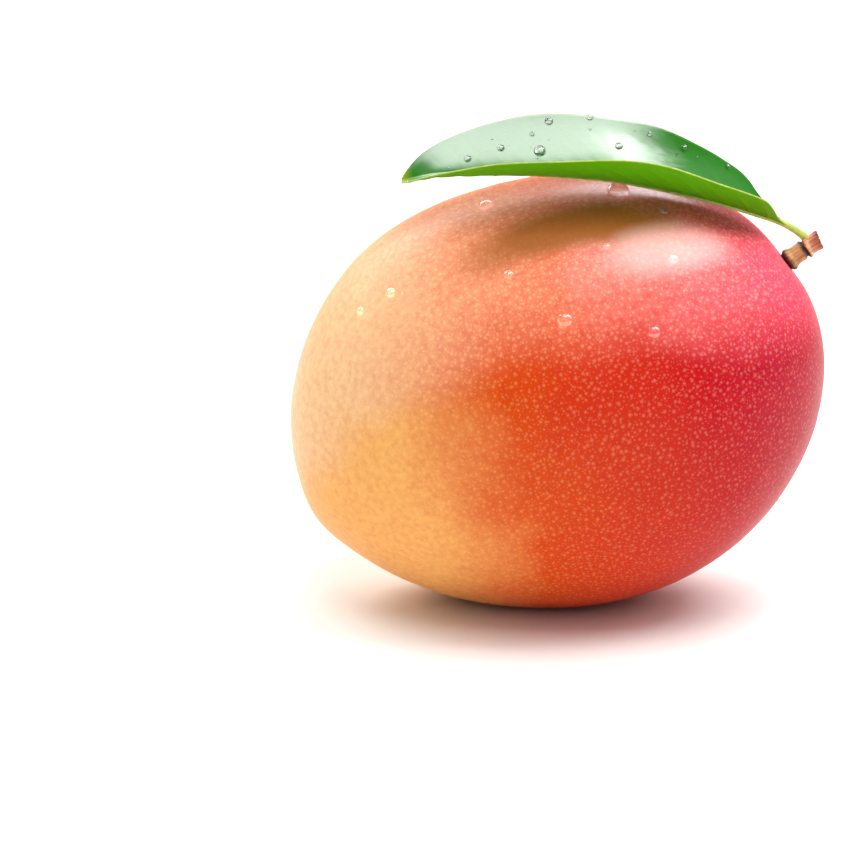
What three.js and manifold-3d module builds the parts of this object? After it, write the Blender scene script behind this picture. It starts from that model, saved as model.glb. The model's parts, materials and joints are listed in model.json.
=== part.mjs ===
// A whole ripe mango at rest on a flat surface, with its cut stem and one leaf.
//
// Millimetres, +Z up. The stem end points along +X and the leaf's near half faces -Y.
// The origin is the middle of the small flat spot that the fruit rests on.

import * as THREE from 'three';
import { mergeVertices } from 'three/addons/utils/BufferGeometryUtils.js';
import Module from 'manifold-3d';

const wasm = await Module();
wasm.setup();

const CLEARANCE = 0.3;       // air between two pieces that touch
const MERGE_DISTANCE = 1e-3;

// Fruit: an egg-like body whose own x axis runs through the stem end, with z to its back

const FRUIT_HALF_LENGTH = 59.1;
const FRUIT_HALF_HEIGHT = 47.2;
const FRUIT_HALF_THICKNESS = 44;
const FRUIT_SHOULDER_TAPER = 0.06;    // how much fuller the stem end is than the middle
const FRUIT_TILT = 16;                // degrees that the stem end is raised
const FRUIT_CENTRE = new THREE.Vector3(4.2, 0, 46.7);
const FRUIT_SEGMENTS = 64;
const FRUIT_RINGS = 40;

// Swellings (+) and hollows (-) on the fruit: angle from the long axis towards the back (+) or the
// belly (-) and spread, both in degrees, and height
const FRUIT_RELIEF = [
  { name: 'stem hollow', angle: 15.4, spread: 5.5, height: -1 },
  { name: 'back shoulder', angle: 42, spread: 16, height: -0.5 },
  { name: 'belly shoulder', angle: -32, spread: 22, height: -1.3 },
  { name: 'belly', angle: -95, spread: 34, height: 0.5 },
  { name: 'far back', angle: 128, spread: 24, height: 4.4 },
  { name: 'lower apex', angle: -165, spread: 20, height: 1.5 },
  { name: 'sinus', angle: -148, spread: 8, height: -0.9 },
  { name: 'beak', angle: -169, spread: 6, height: 1.2 },
];

// Stem: a short woody stalk, broken off above the scar ring that the leaf grows from

const STEM_ANGLE = 15.4;              // where it leaves the fruit, from the long axis to the back
const STEM_ELEVATION = 35.5;          // degrees above level
const STEM_RADIUS = 2.05;
const STEM_SUNK = 3.2;
const STEM_LENGTH = 8.3;
const STEM_SEGMENTS = 24;
const STEM_GROOVE_HEIGHT = 4.4;
const STEM_RING_TILT = 0.35;          // how far the groove and ring run up on the upper side
const STEM_THREE_LUMPS = 0.04;        // share of the radius that the stalk is out of round
const STEM_FIVE_LUMPS = 0.03;
const STEM_TWIST = 0.6;               // radians that the five lumps turn in each millimetre

// Leaf: a folded blade on a midrib that runs on as the leaf stalk

const LEAF_THICKNESS = 0.7;
const LEAF_SAG = 0.05;                // between fold and edge, as a share of the half width
const LEAF_WAVE = 0.025;              // height of the waves along the edge, as a share of the half width
const LEAF_WAVES = 3;
const LEAF_STATIONS = 46;
const LEAF_CROWDING = 0.7;            // how much closer the stations stand at both ends, 0 to 1
const LEAF_STRIPS = 5;                // across each half
const RIB_SINKS_BY = 22;              // length along the fold where the rib is fully under the blade

// Degrees that each half rises from level: at the stalk, in the middle and at the tip
const LEAF_NEAR_RISE = [18, 24.5, 3];
const LEAF_FAR_RISE = [62, 45, 50];
const LEAF_FAR_FULLNESS = 0.14;       // how much wider the far half is than the near one towards the tip

const STALK_RADIUS = 0.95;
const RIB_RADIUS = 0.32;              // at the tip
const RIB_SIDES = 8;

// The fold line, from inside the stem over the fruit's back to the tip
const LEAF_FOLD = [
  [58.4, 0, 80.5], [56.8, -0.2, 82.1], [55.1, -0.9, 83.5], [52.4, -2, 85.3], [44.9, -5.4, 88.8],
  [30.6, -9.5, 93.5], [15.5, -11.4, 96.8], [-0.1, -11.1, 98.1], [-15.6, -9.3, 97.9], [-24, -8, 97.4],
  [-30.8, -7, 95.7],
];

// Half widths at lengths along the fold line
const LEAF_OUTLINE = [
  [7, 0.4], [11, 1.6], [14.7, 4.8], [18.5, 8.6], [24, 11.2], [32, 13.6], [41, 15.8], [52, 16.1],
  [63.5, 14.5], [75, 11.7], [83.2, 8.9], [88.8, 5.8], [92.5, 3.2], [95.3, 0.2],
];

const radians = THREE.MathUtils.degToRad;
const toWorldFromFruit = new THREE.Matrix4()
  .makeRotationY(-radians(FRUIT_TILT))
  .setPosition(FRUIT_CENTRE);

// Solids and meshes

function toSolid(geometry) {
  const bare = geometry.clone();
  bare.deleteAttribute('normal');
  bare.deleteAttribute('uv');
  const merged = mergeVertices(bare, MERGE_DISTANCE);
  return new wasm.Manifold(new wasm.Mesh({
    numProp: 3,
    vertProperties: merged.attributes.position.array,
    triVerts: new Uint32Array(merged.index.array),
  }));
}

function toGeometry(solid) {
  const mesh = solid.getMesh();
  const geometry = new THREE.BufferGeometry();
  geometry.setAttribute('position', new THREE.Float32BufferAttribute(mesh.vertProperties, 3));
  geometry.setIndex(new THREE.Uint32BufferAttribute(mesh.triVerts, 1));
  geometry.computeVertexNormals();
  return geometry;
}

// A closed skin over rings of points that all have the same count, with a flat cap at each end
function skinOver(rings) {
  const count = rings[0].length;
  const index = [];
  for (let ring = 0; ring < rings.length - 1; ring += 1) {
    for (let i = 0; i < count; i += 1) {
      const a = ring * count + i;
      const b = ring * count + (i + 1) % count;
      index.push(a, b, a + count, b, b + count, a + count);
    }
  }
  const last = (rings.length - 1) * count;
  for (let i = 1; i < count / 2; i += 1) {
    index.push(i - 1, count - i, i, i, count - i, count - i - 1);
    index.push(last + i - 1, last + i, last + count - i, last + i, last + count - i - 1, last + count - i);
  }
  const geometry = new THREE.BufferGeometry().setFromPoints(rings.flat());
  geometry.setIndex(index);
  return geometry;
}

// Fruit

// Distance from the fruit's centre to its skin along a unit direction of the fruit's own frame
function fruitRadius(direction) {
  const fullness = 1 + FRUIT_SHOULDER_TAPER * direction.x;
  const scaled = new THREE.Vector3(
    direction.x / FRUIT_HALF_LENGTH,
    direction.y / (FRUIT_HALF_THICKNESS * fullness),
    direction.z / (FRUIT_HALF_HEIGHT * fullness),
  );
  let radius = 1 / scaled.length();
  for (const { angle, spread, height } of FRUIT_RELIEF) {
    const offset = direction.angleTo(directionInProfile(angle)) / radians(spread);
    radius += height * Math.exp(-0.5 * offset * offset);
  }
  return radius;
}

function directionInProfile(degrees) {
  return new THREE.Vector3(Math.cos(radians(degrees)), 0, Math.sin(radians(degrees)));
}

function fruitSolid() {
  const poleAtStem = new THREE.Quaternion()
    .setFromUnitVectors(new THREE.Vector3(0, 1, 0), directionInProfile(STEM_ANGLE));
  const geometry = new THREE.SphereGeometry(1, FRUIT_SEGMENTS, FRUIT_RINGS).applyQuaternion(poleAtStem);
  const points = geometry.attributes.position;
  const point = new THREE.Vector3();
  for (let i = 0; i < points.count; i += 1) {
    point.fromBufferAttribute(points, i).normalize();
    point.multiplyScalar(fruitRadius(point)).applyMatrix4(toWorldFromFruit);
    points.setXYZ(i, point.x, point.y, point.z);
  }
  return toSolid(geometry);
}

function belowTheSurface() {
  const size = 4 * FRUIT_HALF_LENGTH;
  return toSolid(new THREE.BoxGeometry(size, size, size).translate(0, 0, -size / 2));
}

function makeFruit() {
  const solid = fruitSolid().subtract(belowTheSurface()).subtract(toSolid(stemGeometry(CLEARANCE)));
  const fruit = new THREE.Mesh(toGeometry(solid), skinMaterial());
  fruit.name = 'fruit';
  return fruit;
}

// Stem

function stemBase() {
  const direction = directionInProfile(STEM_ANGLE);
  return direction.multiplyScalar(fruitRadius(direction)).applyMatrix4(toWorldFromFruit);
}

// The stalk's outline from its sunk foot to its broken top, grown outwards by a margin
function stemProfile(margin) {
  const ring = STEM_GROOVE_HEIGHT;
  const outline = [
    [0.8, -STEM_SUNK], [0.92, -0.6], [1.18, 0.2], [1.16, 1.1], [1.0, 1.9], [0.98, 3.4],
    [1.03, ring - 0.6], [0.84, ring - 0.1], [0.86, ring + 0.2], [1.13, ring + 0.6],
    [1.12, ring + 1.0], [0.98, ring + 1.5], [0.97, STEM_LENGTH - 1.1], [1.02, STEM_LENGTH - 0.4],
    [0.9, STEM_LENGTH], [0.45, STEM_LENGTH - 0.25],
  ];
  const profile = outline.map(([share, height]) => new THREE.Vector2(share * STEM_RADIUS + margin, height));
  profile[0].y -= margin;
  profile.unshift(new THREE.Vector2(0, -STEM_SUNK - margin));
  profile.push(new THREE.Vector2(0, STEM_LENGTH - 0.4 + margin));
  return profile;
}

function stemGeometry(margin) {
  const geometry = new THREE.LatheGeometry(stemProfile(margin), STEM_SEGMENTS);
  const points = geometry.attributes.position;
  const point = new THREE.Vector3();
  for (let i = 0; i < points.count; i += 1) {
    point.fromBufferAttribute(points, i);
    const around = Math.atan2(point.z, point.x);
    const lump = 1
      + STEM_THREE_LUMPS * Math.sin(3 * around + 1)
      + STEM_FIVE_LUMPS * Math.sin(5 * around - STEM_TWIST * point.y);
    const tilt = STEM_RING_TILT / STEM_RADIUS * THREE.MathUtils.smoothstep(point.y, 0, STEM_GROOVE_HEIGHT);
    points.setXYZ(i, point.x * lump, point.y - tilt * point.x, point.z * lump);
  }
  const upright = radians(STEM_ELEVATION - 90);
  const base = stemBase();
  return geometry.rotateZ(upright).rotateX(Math.PI / 2).translate(base.x, base.y, base.z);
}

function makeStem() {
  const stem = new THREE.Mesh(toGeometry(toSolid(stemGeometry(0))), barkMaterial());
  stem.name = 'stem';
  return stem;
}

// Leaf

const foldLine = new THREE.CatmullRomCurve3(LEAF_FOLD.map((point) => new THREE.Vector3(...point)));
const foldLength = foldLine.getLength();
const halfWidths = new THREE.CubicInterpolant(
  LEAF_OUTLINE.map(([along]) => along),
  LEAF_OUTLINE.map(([, halfWidth]) => halfWidth),
  1,
);

// The fold line's point at a length, with the directions towards the far side and up
function foldFrame(along) {
  const share = THREE.MathUtils.clamp(along / foldLength, 0, 1);
  const point = foldLine.getPointAt(share);
  const tangent = foldLine.getTangentAt(share);
  const far = new THREE.Vector3().crossVectors(tangent, new THREE.Vector3(0, 0, 1)).normalize();
  const up = new THREE.Vector3().crossVectors(far, tangent);
  return { share, point, far, up };
}

// How one half of the blade lies at a place on the fold line: the way out to its edge, and its upper normal
function halfDirections({ share, far, up }, side) {
  const [atStalk, inMiddle, atTip] = side < 0 ? LEAF_NEAR_RISE : LEAF_FAR_RISE;
  const end = share < 0.5 ? atStalk : atTip;
  const rise = radians(THREE.MathUtils.lerp(inMiddle, end, (2 * share - 1) ** 2));
  return {
    outward: far.clone().multiplyScalar(side * Math.cos(rise)).addScaledVector(up, Math.sin(rise)),
    normal: far.clone().multiplyScalar(-side * Math.sin(rise)).addScaledVector(up, Math.cos(rise)),
  };
}

// One half of a blade section, from beside the fold to the edge, at a depth under its upper face
function halfSection(frame, side, halfWidth, depth) {
  const { outward, normal } = halfDirections(frame, side);
  const wave = LEAF_WAVE * Math.sin(2 * Math.PI * LEAF_WAVES * frame.share + side);
  const points = [];
  for (let strip = 1; strip <= LEAF_STRIPS; strip += 1) {
    const across = strip / LEAF_STRIPS;
    const lift = wave * across * across - 4 * LEAF_SAG * across * (1 - across);
    points.push(frame.point.clone()
      .addScaledVector(outward, halfWidth * across)
      .addScaledVector(normal, halfWidth * lift - depth));
  }
  return points;
}

// The fold's point at a depth, where the faces of both halves meet
function foldPoint(frame, depth) {
  const near = halfDirections(frame, -1).normal;
  const far = halfDirections(frame, 1).normal;
  const mitre = -depth / (1 + near.dot(far));
  return frame.point.clone().addScaledVector(near, mitre).addScaledVector(far, mitre);
}

// One face's line across the blade, from the near edge over the fold to the far edge
function lineAcross(frame, halfWidth, depth) {
  const fuller = 1 + LEAF_FAR_FULLNESS * THREE.MathUtils.smoothstep(frame.share, 0.5, 0.85);
  const near = halfSection(frame, -1, halfWidth, depth);
  const far = halfSection(frame, 1, halfWidth * fuller, depth);
  return [...near.reverse(), foldPoint(frame, depth), ...far];
}

// A whole section as a closed ring: the upper face's line, then the lower face's line back
function bladeSection(along) {
  const frame = foldFrame(along);
  const [halfWidth] = halfWidths.evaluate(along);
  return [...lineAcross(frame, halfWidth, 0), ...lineAcross(frame, halfWidth, LEAF_THICKNESS).reverse()];
}

function bladeSolid() {
  const [start] = LEAF_OUTLINE[0];
  const [end] = LEAF_OUTLINE.at(-1);
  const sections = [];
  for (let station = 0; station <= LEAF_STATIONS; station += 1) {
    const even = station / LEAF_STATIONS;
    const share = even - LEAF_CROWDING * Math.sin(2 * Math.PI * even) / (2 * Math.PI);
    sections.push(bladeSection(THREE.MathUtils.lerp(start, end, share)));
  }
  return toSolid(skinOver(sections));
}

// The leaf stalk and midrib: round, and sunk into the blade's underside past the blade's foot
function ribSolid() {
  const rings = [];
  for (let station = 0; station <= LEAF_STATIONS; station += 1) {
    const along = station / LEAF_STATIONS * (foldLength - LEAF_THICKNESS);
    const { share, point, far, up } = foldFrame(along);
    const radius = THREE.MathUtils.lerp(STALK_RADIUS, RIB_RADIUS, Math.sqrt(share));
    const sunk = LEAF_THICKNESS * THREE.MathUtils.smoothstep(along, 0, RIB_SINKS_BY);
    const ring = [];
    for (let side = 0; side < RIB_SIDES; side += 1) {
      const around = -2 * Math.PI * side / RIB_SIDES;
      ring.push(point.clone()
        .addScaledVector(far, radius * Math.cos(around))
        .addScaledVector(up, radius * Math.sin(around) - sunk));
    }
    rings.push(ring);
  }
  return toSolid(skinOver(rings));
}

function makeLeaf() {
  const solid = bladeSolid().add(ribSolid()).subtract(toSolid(stemGeometry(CLEARANCE)));
  const leaf = new THREE.Mesh(toGeometry(solid), leafMaterial());
  leaf.name = 'leaf';
  return leaf;
}

// Materials

function skinMaterial() {
  return new THREE.MeshStandardMaterial({ color: 0xe8604a, roughness: 0.38, metalness: 0 });
}

function barkMaterial() {
  return new THREE.MeshStandardMaterial({ color: 0x8a6a45, roughness: 0.85, metalness: 0 });
}

function leafMaterial() {
  return new THREE.MeshStandardMaterial({ color: 0x2f8a26, roughness: 0.42, metalness: 0 });
}

const mango = new THREE.Group();
mango.add(makeFruit(), makeStem(), makeLeaf());

export default mango;
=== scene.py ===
"""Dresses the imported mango: its skin, stem, folded leaf and water drops, in a small white studio.

Laid out as an add-on and run as a script: main() registers it and presses each of its buttons once.
"""

import json
import math
from functools import partial

import bpy
import numpy as np
from bpy.props import FloatProperty, FloatVectorProperty, IntProperty, PointerProperty
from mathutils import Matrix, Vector, noise
from mathutils.bvhtree import BVHTree

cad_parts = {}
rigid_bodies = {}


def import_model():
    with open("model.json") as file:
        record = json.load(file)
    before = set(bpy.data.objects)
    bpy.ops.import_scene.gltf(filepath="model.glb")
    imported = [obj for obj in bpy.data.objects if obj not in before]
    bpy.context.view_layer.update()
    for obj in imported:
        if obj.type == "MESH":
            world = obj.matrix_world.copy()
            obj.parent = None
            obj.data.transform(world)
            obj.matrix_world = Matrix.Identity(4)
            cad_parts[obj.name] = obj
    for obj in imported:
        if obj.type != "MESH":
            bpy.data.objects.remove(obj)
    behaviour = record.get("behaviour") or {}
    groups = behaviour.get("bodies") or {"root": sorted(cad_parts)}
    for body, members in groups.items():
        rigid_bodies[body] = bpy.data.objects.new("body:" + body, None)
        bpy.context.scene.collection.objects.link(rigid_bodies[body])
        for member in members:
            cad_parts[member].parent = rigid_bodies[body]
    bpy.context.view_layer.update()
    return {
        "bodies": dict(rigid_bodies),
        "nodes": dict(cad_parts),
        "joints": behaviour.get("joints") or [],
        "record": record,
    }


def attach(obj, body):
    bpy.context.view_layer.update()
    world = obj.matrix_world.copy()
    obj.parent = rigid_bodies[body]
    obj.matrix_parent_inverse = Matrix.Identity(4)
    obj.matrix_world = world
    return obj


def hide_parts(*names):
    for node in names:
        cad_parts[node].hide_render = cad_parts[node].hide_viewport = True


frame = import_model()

bl_info = {
    "name": "Mango",
    "version": (1, 0, 0),
    "blender": (4, 5, 0),
    "location": "View3D > Sidebar > Mango",
    "description": "A whole mango with its stem, leaf and water drops, in a white studio",
    "category": "Add Mesh",
}

MM = 0.001
BODY = "root"
X_AXIS, Y_AXIS, Z_AXIS = Vector((1, 0, 0)), Vector((0, 1, 0)), Vector((0, 0, 1))

# How the kinds of node begin that aren't shader nodes, and a setting that many Map Range nodes share
OTHER_FAMILIES = ("GeometryNode", "FunctionNode", "NodeGroup")
SMOOTH = {"interpolation_type": "SMOOTHSTEP"}

# The photograph's side in pixels, the camera's sensor in millimetres and half the floor's side in metres
PHOTO_SIDE = 850
SENSOR_WIDTH = 36
HALF_FLOOR = 3.0

# Softboxes face a point in the object. Each has its direction from there, its distance, width and depth in
# metres, and its radiance
LIGHTS_AIM = Vector((0, 0, 70)) * MM
LIGHTS = [
    ("back_left_softbox", (-0.6, 0.5, 0.56), 0.8, 0.5, 0.45, 4.8),
    ("overhead_softbox", (0.52, -0.08, 0.85), 0.8, 0.34, 0.4, 9),
    ("front_overhead_softbox", (0.01, -0.32, 0.94), 0.8, 0.54, 0.5, 4.4),
    ("front_softbox", (-0.1, -0.8, 0.62), 1.1, 1.4, 0.7, 0.6),
    ("right_softbox", (0.8, 0.15, 0.55), 0.8, 0.5, 0.35, 2.2),
    ("backdrop_softbox", (0, 1, 1), 2.0, 2.6, 0.8, 5),
]

# The fruit's own frame: x along its long axis to the stem end, y across it, z to its back
FRUIT_CENTRE = Vector((4.2, 0, 46.7)) * MM
FRUIT_TILT = math.radians(16)

# How finely slow lumps divide the skin, as the scale of their noise over a sphere of radius 1
LUMPS = 3.2

# Swellings (+) and hollows (-): angle from the long axis towards the back (+) or the belly (-), and
# spread, both in degrees, then height in millimetres
SWELLINGS = {
    "stem hollow": (15.4, 5.5, -1.0),
    "back shoulder": (42, 16, -0.5),
    "belly shoulder": (-32, 22, -1.3),
    "belly": (-95, 34, 0.5),
    "far back": (128, 24, 4.4),
    "lower apex": (-165, 20, 1.5),
    "sinus": (-148, 8, -0.9),
    "beak": (-169, 6, 1.2),
}
STEM_ANGLE = math.radians(SWELLINGS["stem hollow"][0])

# Where the skin's zones of colour lie along the fruit, in millimetres towards the stem end
BACK_ZONES = {"apex": -40, "side": -14, "middle": 8, "blush": 28, "stem_end": 52}
BELLY_ZONES = {"apex": -36, "side": -13, "middle": 5, "blush": 30, "stem_end": 50}

# Between which heights the belly's colours end in the fruit's middle, and how that border sinks towards both
# ends, in metres for each square metre of the way there
BORDER = (13 * MM, 33 * MM)
BORDER_SINK = 6.0

# Between which places along the fruit the blush comes up and the net deepens, and between which places and
# heights the wax takes a shine
BLUSH_RANGE = (-8 * MM, 24 * MM)
NET_RANGE = (-35 * MM, 24 * MM)
SHINE_RANGE = (6 * MM, 30 * MM)
SHINE_HEIGHTS = (26 * MM, 37 * MM)

# Large and small lenticels: their spacing and largest radius in millimetres, and how strongly they show.
# The least of them has this share of that radius
LENTICELS = [(1.8, 0.54, 0.21), (1.1, 0.32, 0.15)]
LEAST_DOT = 0.6

# The olive patch under the leaf, partly the skin's own olive and partly a painted shadow of the leaf, and
# the painted highlight on the shoulder by the stem, as soft ellipsoids: middle, half sizes and turns
OLIVE_AND_LEAF_SHADOW_PATCH = (Vector((12, -22.5, 39)) * MM, Vector((24, 6.5, 13)) * MM, (0, 0, math.radians(5)))
PAINTED_HIGHLIGHT_PATCH = (Vector((33, -25, 30)) * MM, Vector((18, 7, 7)) * MM, (0, math.radians(8), math.radians(23)))

# Between which shares of its half sizes a patch fades out, and how far slow noise bends that edge
PATCH_EDGE = (0.4, 1.25)
PATCH_DRIFT = 1.2

# The stem's foot on the skin and its axis, which rises towards +X
STEM_FOOT = Vector((53.4, 0, 76.8)) * MM
STEM_ELEVATION = math.radians(35.5)
STEM_RADIUS = 2.05 * MM

# How far the stem's top leans back on its lower side, for each metre of radius
STEM_LEAN = 0.35 * MM / STEM_RADIUS

# The stem's outline: share of its radius, then height over the foot in millimetres
STEM_OUTLINE = [
    (0.8, -3.2), (0.92, -0.6), (1.14, 0.0), (1.2, 0.5), (1.12, 1.1), (1.0, 1.7), (0.97, 2.6), (1.0, 3.4),
    (1.03, 3.8), (0.92, 4.15), (0.82, 4.4), (0.95, 4.65), (1.12, 4.95), (1.12, 5.4), (1.0, 5.9),
    (0.96, 6.6), (0.97, 7.2), (1.01, 7.7), (0.98, 8.1), (0.88, 8.25), (0.6, 8.1), (0.3, 7.9), (0.0, 7.85),
]

# The bark's colours by height over the foot in millimetres
BARK_ZONES = [
    (0.2, "#2A1A10"), (0.8, "#6B4522"), (1.5, "#C89A60"), (4.0, "#C08E56"), (4.6, "#4A2614"),
    (5.1, "#3A1C10"), (5.6, "#E4BE92"), (6.2, "#D49468"), (7.2, "#C47A58"), (8.3, "#A65A40"),
    (8.95, "#3A1F14"),
]

# The leaf's fold line in millimetres, from inside the stem over the fruit's back to the tip
LEAF_FOLD = [
    (58.4, 0, 80.5), (56.8, -0.2, 82.1), (55.1, -0.9, 83.5), (52.4, -2, 85.3), (44.9, -5.4, 88.8),
    (30.6, -9.5, 93.5), (15.5, -11.4, 96.8), (-0.1, -11.1, 98.1), (-15.6, -9.3, 97.9), (-24, -8, 97.4),
    (-30.8, -7, 95.7),
]

# Half widths of the blade at lengths along the fold line, in millimetres
LEAF_OUTLINE = [
    (7, 0.4), (11, 1.6), (14.7, 4.8), (18.5, 8.6), (24, 11.2), (32, 13.6), (41, 15.8), (52, 16.1),
    (63.5, 14.5), (75, 11.7), (83.2, 8.9), (88.8, 5.8), (92.5, 3.2), (94.6, 1.2), (95.3, 0.3),
]

# Degrees that each half rises from level: at the stalk, in the middle and at the tip
LEAF_NEAR_RISE = (18, 24.5, 3)
LEAF_FAR_RISE = (62, 45, 50)

# How much wider the far half is than the near one towards the tip
FAR_FULLNESS = 0.14

# How much the blade's sections crowd at its two ends, and its strips at the fold
END_CROWDING = 0.7
FOLD_CROWDING = 1.35

# Side veins: how they slant and bend forward from the fold, how far the near half's are set off against the
# far half's, how far they wander from even spacing and over what length, and their share of relief above
VEIN_SLANT = 0.62
VEIN_BEND = 60 * MM
VEIN_STAGGER = 0.45
VEIN_WANDER = 0.12
VEIN_WANDER_LENGTH = 9 * MM
UPPER_VEINS = 0.05

# Between which places along the leaf its tip turns yellow, and its wax begins and ends, which slow spots
# break up by the last length
TIP_RANGE = (92.5 * MM, 96 * MM)
WAX_EDGES = ((40 * MM, 58 * MM), (101 * MM, 97 * MM))
WAX_BREAKUP = 16 * MM

# Drops by their column and row in the photograph, with their width in millimetres
SKIN_DROPS = [
    (565, 320, 3.5), (654, 332, 3.0), (486, 206, 3.2), (509, 275, 2.3), (391, 293, 2.4), (361, 311, 2.0),
    (673, 259, 2.7), (607, 247, 1.8), (663, 211, 2.2), (678, 268, 0.6), (680, 275, 0.5), (682, 283, 0.6),
    (684, 291, 0.5), (618, 192, 5.0),
]
LEAF_DROPS = [
    (468, 159, 1.6), (501, 148, 1.6), (540, 151, 2.6), (532, 134, 1.1), (549, 121, 1.8), (590, 117, 1.5),
    (590, 129, 0.7), (619, 146, 1.7), (650, 134, 1.3), (684, 148, 1.6), (728, 167, 1.2),
]


# Small tools


def to_linear(hex_colour):
    """An sRGB hex colour as linear red, green and blue."""
    channels = (int(hex_colour[i : i + 2], 16) / 255 for i in (1, 3, 5))
    return tuple(c / 12.92 if c <= 0.04045 else ((c + 0.055) / 1.055) ** 2.4 for c in channels)


def paint(colour):
    """A hex or linear colour with full alpha, as a shader's socket takes it."""
    return (*(to_linear(colour) if isinstance(colour, str) else colour), 1.0)


def add_node(tree, kind, *inputs, **settings):
    """Adds a node and feeds those inputs that its settings open, in order, or by name from one dictionary.

    A shader node's kind goes without its prefix, and any kind may be followed by its operation. An input
    takes a value, a socket, or a node, which stands for the first output that it has open.
    """
    kind, *operation = kind.split()
    node = tree.nodes.new(kind if kind.startswith(OTHER_FAMILIES) else f"ShaderNode{kind}")
    if operation:
        node.operation = operation[0]
    for name, value in settings.items():
        setattr(node, name, value)
    sockets = [socket for socket in node.inputs if socket.enabled]
    if inputs and isinstance(inputs[0], dict):
        named = {socket.name: socket for socket in sockets}
        sockets = [named[name] for name in inputs[0]]
        inputs = inputs[0].values()
    for socket, value in zip(sockets, inputs):
        if isinstance(value, bpy.types.Node):
            value = next(output for output in value.outputs if output.enabled)
        if isinstance(value, bpy.types.NodeSocket):
            tree.links.new(value, socket)
        else:
            socket.default_value = value
    return node


def span(value, low, high, start=0.0, end=1.0):
    """The inputs of a Map Range node by which a value that goes from low to high goes from start to end."""
    return {"Value": value, "From Min": low, "From Max": high, "To Min": start, "To Max": end}


def new_tree(name, sizes, result="Geometry"):
    """A Geometry Nodes tree with a named input for each size, what adds its nodes, and its inputs."""
    tree = bpy.data.node_groups.new(name, "GeometryNodeTree")
    for size, kind in sizes.items():
        tree.interface.new_socket(size, in_out="INPUT", socket_type=f"NodeSocket{kind}")
    tree.interface.new_socket(result, in_out="OUTPUT", socket_type=f"NodeSocket{result}")
    add = partial(add_node, tree)
    return tree, add, add("NodeGroupInput").outputs


def finish_tree(add, geometry, material):
    """Ends a tree with real, smooth geometry in its material."""
    real = add("GeometryNodeRealizeInstances", {"Geometry": geometry})
    smooth = add("GeometryNodeSetShadeSmooth", real)
    finished = add("GeometryNodeSetMaterial", {"Geometry": smooth, "Material": material})
    add("NodeGroupOutput", finished)


def add_piece(name, data):
    """A new object at the origin, linked to the scene."""
    piece = bpy.data.objects.new(name, data)
    bpy.context.scene.collection.objects.link(piece)
    return piece


def grow(name, mesh, tree, settings, **given):
    """Runs a tree on a mesh, and keeps what comes out as a plain mesh.

    An input of the tree takes the value given under its name, or else the setting of that name.
    """
    piece = add_piece(name, mesh)
    modifier = piece.modifiers.new(name, "NODES")
    modifier.node_group = tree
    for item in tree.interface.items_tree:
        if item.in_out == "INPUT" and item.socket_type != "NodeSocketGeometry":
            size = item.name.lower().replace(" ", "_")
            modifier[item.identifier] = given[size] if size in given else getattr(settings, size)
    graph = bpy.context.evaluated_depsgraph_get()
    plain = bpy.data.meshes.new_from_object(piece.evaluated_get(graph), depsgraph=graph)
    piece.modifiers.remove(modifier)
    piece.data = plain
    plain.name = name
    return piece


def hand_over(piece, node=None):
    """Puts a finished piece on the body, in place of its CAD node."""
    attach(piece, BODY)
    if node:
        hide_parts(node)


def new_material(name):
    """A material with an empty node tree, and what adds nodes to that."""
    material = bpy.data.materials.new(name)
    material.use_nodes = True
    material.node_tree.nodes.clear()
    return material, partial(add_node, material.node_tree)


def own_frame(add, origin, tilt):
    """Nodes for each point's place in a frame that stands at an origin and is tilted about Y."""
    place = add("TexCoord").outputs["Object"]
    frame = {"Vector": place, "Location": origin, "Rotation": (0, -tilt, 0)}
    return add("Mapping", frame, vector_type="TEXTURE")


def size_setting(name, description, millimetres):
    """A length that can be changed."""
    return FloatProperty(name=name, description=description, default=millimetres * MM, unit="LENGTH")


def colour_setting(name, description, colour):
    """A colour that can be changed."""
    start = to_linear(colour)
    return FloatVectorProperty(name=name, description=description, default=start, subtype="COLOR")


def smooth_mesh(name, points, faces):
    """A smooth-shaded mesh from points and faces."""
    mesh = bpy.data.meshes.new(name)
    mesh.from_pydata(points.reshape(-1, 3).tolist(), [], faces)
    mesh.shade_smooth()
    return mesh


def ring_faces(rings, around):
    """Quads that join rings of points, each closed on itself."""
    steps = [(c, (c + 1) % around) for c in range(around)]
    return [
        (r * around + here, r * around + there, (r + 1) * around + there, (r + 1) * around + here)
        for r in range(rings - 1)
        for here, there in steps
    ]


def through(knots, values, places):
    """Values at places along a smooth curve through the knots' values."""
    knots, values, places = (np.asarray(a, float) for a in (knots, values, places))
    slopes = np.gradient(values, knots, axis=0)
    i = np.clip(np.searchsorted(knots, places, side="right") - 1, 0, len(knots) - 2)
    step = knots[i + 1] - knots[i]
    u = (places - knots[i]) / step
    if values.ndim > 1:
        u, step = u[:, None], step[:, None]
    start, end, leave, arrive = values[i], values[i + 1], slopes[i] * step, slopes[i + 1] * step
    return (
        start * (1 + 2 * u) * (1 - u) ** 2
        + end * (3 - 2 * u) * u**2
        + leave * u * (1 - u) ** 2
        + arrive * (u - 1) * u**2
    )


def smoothstep(value, low, high):
    """0 below low, 1 above high, and a smooth rise between."""
    share = np.clip((value - low) / (high - low), 0, 1)
    return share * share * (3 - 2 * share)


# Fruit


def swelling_tree():
    """Nodes for one swelling, whose height falls off as a bell with the angle from its middle."""
    sizes = dict.fromkeys(("Direction", "Middle"), "Vector")
    sizes.update(dict.fromkeys(("Spread", "Height", "Radius"), "Float"))
    tree, add, given = new_tree("Swelling", sizes, "Float")
    cosine = add("VectorMath DOT_PRODUCT", given[0], given[1])
    angle = add("Math ARCCOSINE", cosine)
    share = add("Math DIVIDE", angle, given["Spread"])
    square = add("Math MULTIPLY", share, share)
    fall = add("Math MULTIPLY", square, -0.5)
    bell = add("Math EXPONENT", fall)
    radius = add("Math MULTIPLY_ADD", bell, given["Height"], given["Radius"])
    add("NodeGroupOutput", radius)
    return tree


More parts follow.
